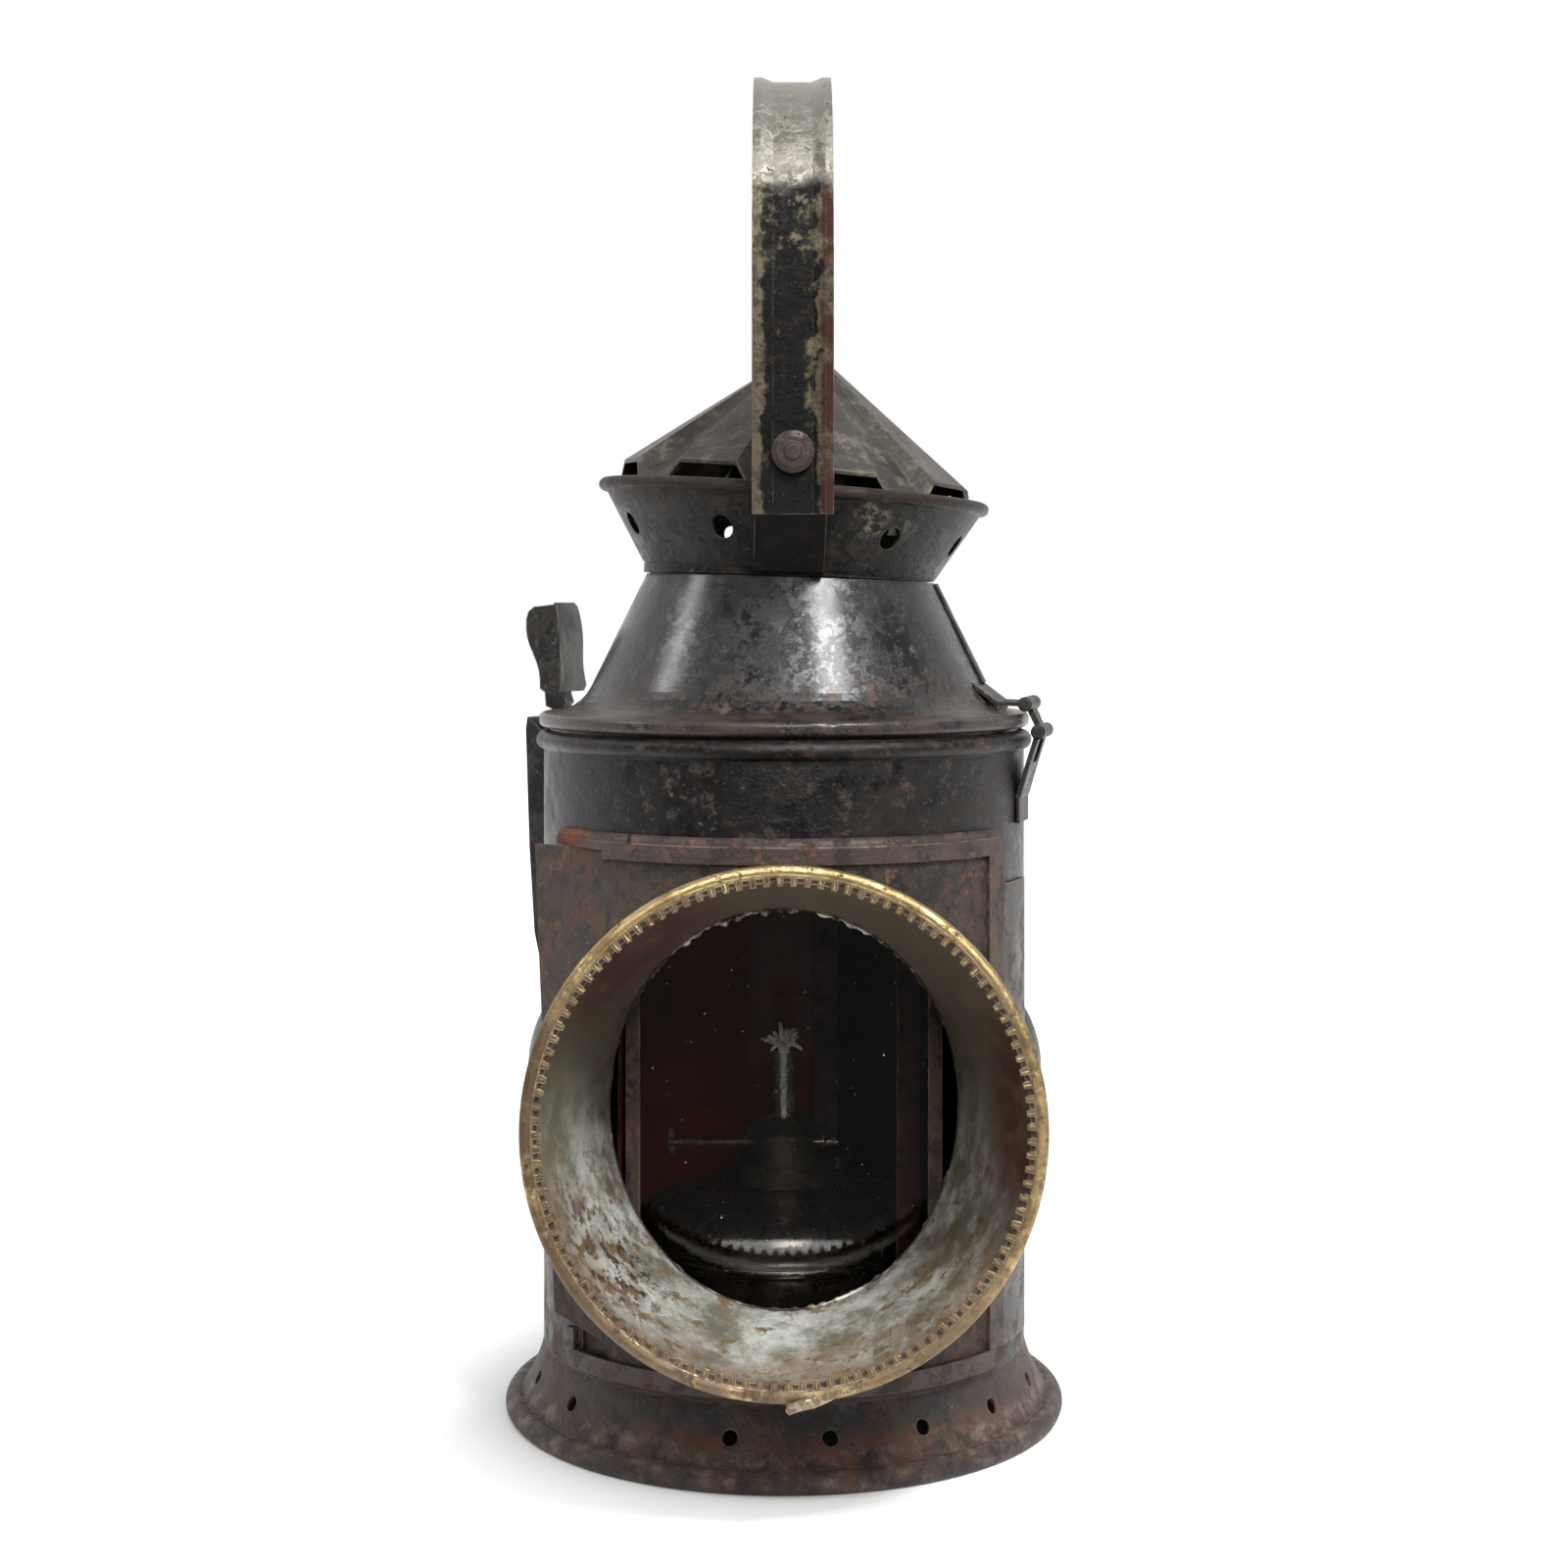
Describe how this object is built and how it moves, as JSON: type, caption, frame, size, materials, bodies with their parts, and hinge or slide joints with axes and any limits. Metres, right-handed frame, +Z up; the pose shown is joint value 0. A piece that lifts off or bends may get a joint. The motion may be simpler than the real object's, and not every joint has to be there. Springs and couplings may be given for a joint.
{
  "type": "railway hand signal lantern",
  "caption": "Round sheet-metal oil hand lamp with a flared front hood, a hinged lid with a turning crown, a fluted cap, a strap bail and an inner colour drum.",
  "frame": {"origin": "centre of the round foot, on the surface that the lamp stands on", "axes": "+Z up, -Y towards the front that the hood faces, +X towards the lamp's right as seen from the front"},
  "size_m": [0.1326, 0.1631, 0.316],
  "materials": {
    "rusted_paint": "black paint mostly gone to brown rust, matt",
    "black_paint": "old black enamel, semi-gloss, rubbed and spotted with rust",
    "weathered_cap": "worn paint over grey-brown patina, matt",
    "zinc_sheet": "dull galvanised sheet with rust spots",
    "brass": "rubbed brass, dark in the hollows",
    "clear_glass": "dusty clear window glass",
    "red_glass": "deep red signal glass",
    "green_glass": "blue-green signal glass",
    "worn_steel": "strip steel with paint left in the hollow and worn bright edges",
    "tinned_steel": "dark tinned sheet",
    "wick_cotton": "charred and frayed woven cotton"
  },
  "bodies": {
    "lamp_body": {"base_skirt": "rusted_paint", "floor_plate": "rusted_paint", "font_seat": "rusted_paint", "body_shell": "black_paint", "top_guide": "rusted_paint", "bottom_guide": "rusted_paint", "right_guide": "rusted_paint", "left_guide": "rusted_paint", "front_plate": "rusted_paint", "hood": "zinc_sheet", "brass_rim": "brass", "front_glass": "clear_glass", "glass_channels": "rusted_paint", "side_bosses": "black_paint", "wall_patch": "black_paint", "catch_sleeve": "black_paint", "catch_pivot_pin": "worn_steel", "catch_spring": "worn_steel", "hinge_body_strap": "worn_steel", "hinge_lower_pin": "worn_steel", "oil_font": "tinned_steel", "filler_cap": "brass", "burner_collar": "brass", "wick_tube": "tinned_steel"},
    "link": {"hinge_link": "worn_steel"},
    "lid": {"hinge_lid_strap": "worn_steel", "hinge_upper_pin": "worn_steel", "lid_cone": "black_paint", "lid_collar": "black_paint"},
    "crown": {"crown": "black_paint", "fluted_cap": "weathered_cap", "cap_struts": "black_paint", "bail_ears": "black_paint", "bail_rivets": "worn_steel", "drum_driver": "tinned_steel"},
    "bail": {"bail_handle": "worn_steel"},
    "catch": {"catch_lever": "worn_steel"},
    "drum": {"drum_bottom_ring": "tinned_steel", "drum_posts": "tinned_steel", "drum_top_spider": "tinned_steel", "red_glass": "red_glass", "green_glass": "green_glass"},
    "spindle": {"wick_spindle": "tinned_steel", "wick_knob": "tinned_steel"},
    "wick": {"wick": "wick_cotton"}
  },
  "joints": [
    {"name": "link_swing", "type": "hinge", "parent": "lamp_body", "child": "link", "pos_m": [0.06035, -0.01505, 0.1612], "axis": [0.2419, 0.9703, 0], "range_deg": [0, 40]},
    {"name": "lid_open", "type": "hinge", "parent": "link", "child": "lid", "pos_m": [0.05744, -0.01432, 0.1676], "axis": [0.2419, 0.9703, 0], "range_deg": [0, 75]},
    {"name": "crown_turn", "type": "hinge", "parent": "lid", "child": "crown", "pos_m": [0.001, 0, 0.197], "axis": [0.0349, 0, 0.9994], "continuous": true},
    {"name": "drum_turn", "type": "hinge", "parent": "lamp_body", "child": "drum", "pos_m": [0, 0, 0.08], "axis": [0, 0, 1], "continuous": true},
    {"name": "bail_swing", "type": "hinge", "parent": "crown", "child": "bail", "pos_m": [0.00195, 0, 0.22418], "axis": [0, 1, 0], "range_deg": [-90, 90]},
    {"name": "catch_press", "type": "hinge", "parent": "lamp_body", "child": "catch", "pos_m": [-0.05563, 0.02248, 0.116], "axis": [-0.3746, -0.9272, 0], "range_deg": [0, 4], "stiffness_Nm_per_rad": 0.8, "springref_deg": -3.44},
    {"name": "spindle_turn", "type": "hinge", "parent": "lamp_body", "child": "spindle", "pos_m": [-0.006, -0.0049, 0.063], "axis": [1, 0, 0], "range_deg": [0, 115]},
    {"name": "wick_raise", "type": "slide", "parent": "lamp_body", "child": "wick", "axis": [0, 0, 1], "range_m": [0, 0.006]}
  ],
  "couplings": [
    {"joint": "link_swing", "follows": "lid_open", "ratio": 0.53333},
    {"joint": "drum_turn", "follows": "crown_turn", "ratio": 1},
    {"joint": "spindle_turn", "follows": "wick_raise", "rad_per_m": 334}
  ]
}
